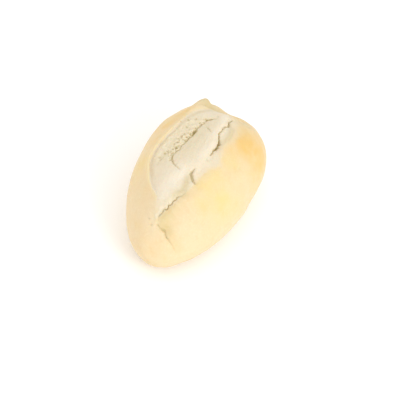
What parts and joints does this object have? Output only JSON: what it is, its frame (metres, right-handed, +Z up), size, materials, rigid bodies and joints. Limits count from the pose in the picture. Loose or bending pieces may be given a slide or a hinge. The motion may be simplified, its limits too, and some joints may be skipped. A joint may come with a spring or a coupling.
{
  "type": "mini baguette",
  "caption": "Small plump baguette roll with a pale crust, one healed slash along its top and a flat underside that it rests on.",
  "frame": {"origin": "middle of the loaf's footprint, on the surface that it rests on", "axes": "+X along the loaf to its blunt end, +Y to the side of the slash's ear, +Z up"},
  "size_m": [0.13, 0.073, 0.051],
  "materials": {
    "crust": "matte, floury, part-baked wheat crust"
  },
  "bodies": {
    "root": {"loaf": "crust"}
  },
  "joints": []
}
